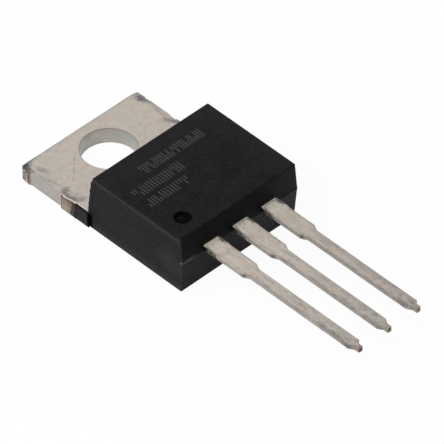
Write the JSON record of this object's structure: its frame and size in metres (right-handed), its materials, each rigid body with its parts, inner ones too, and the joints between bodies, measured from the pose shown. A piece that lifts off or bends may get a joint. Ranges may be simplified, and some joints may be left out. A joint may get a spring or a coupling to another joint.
{
  "type": "voltage regulator",
  "caption": "Voltage regulator in a moulded black power package, with a drilled metal tab for a heatsink and a row of flat through-hole leads.",
  "frame": {"origin": "centre of the mounting hole on the metal back of the tab", "axes": "+Z out of the front, along the mounting screw; +Y from the hole towards the tab's free edge, so the leads point to -Y; +X from the ground lead towards the input lead"},
  "size_m": [0.0102, 0.0283, 0.0046],
  "materials": {
    "epoxy_resin": "matte",
    "tinned_copper": "satin",
    "silicon": "polished",
    "solder": "satin",
    "aluminium_wire": "satin"
  },
  "bodies": {
    "root": {"molded_case": "epoxy_resin", "tab_and_output_lead": "tinned_copper", "ground_lead": "tinned_copper", "input_lead": "tinned_copper", "regulator_die": "silicon", "die_solder": "solder", "input_bond_wire_a": "aluminium_wire", "input_bond_wire_b": "aluminium_wire", "output_bond_wire_a": "aluminium_wire", "output_bond_wire_b": "aluminium_wire", "ground_bond_wire": "aluminium_wire"}
  },
  "joints": []
}
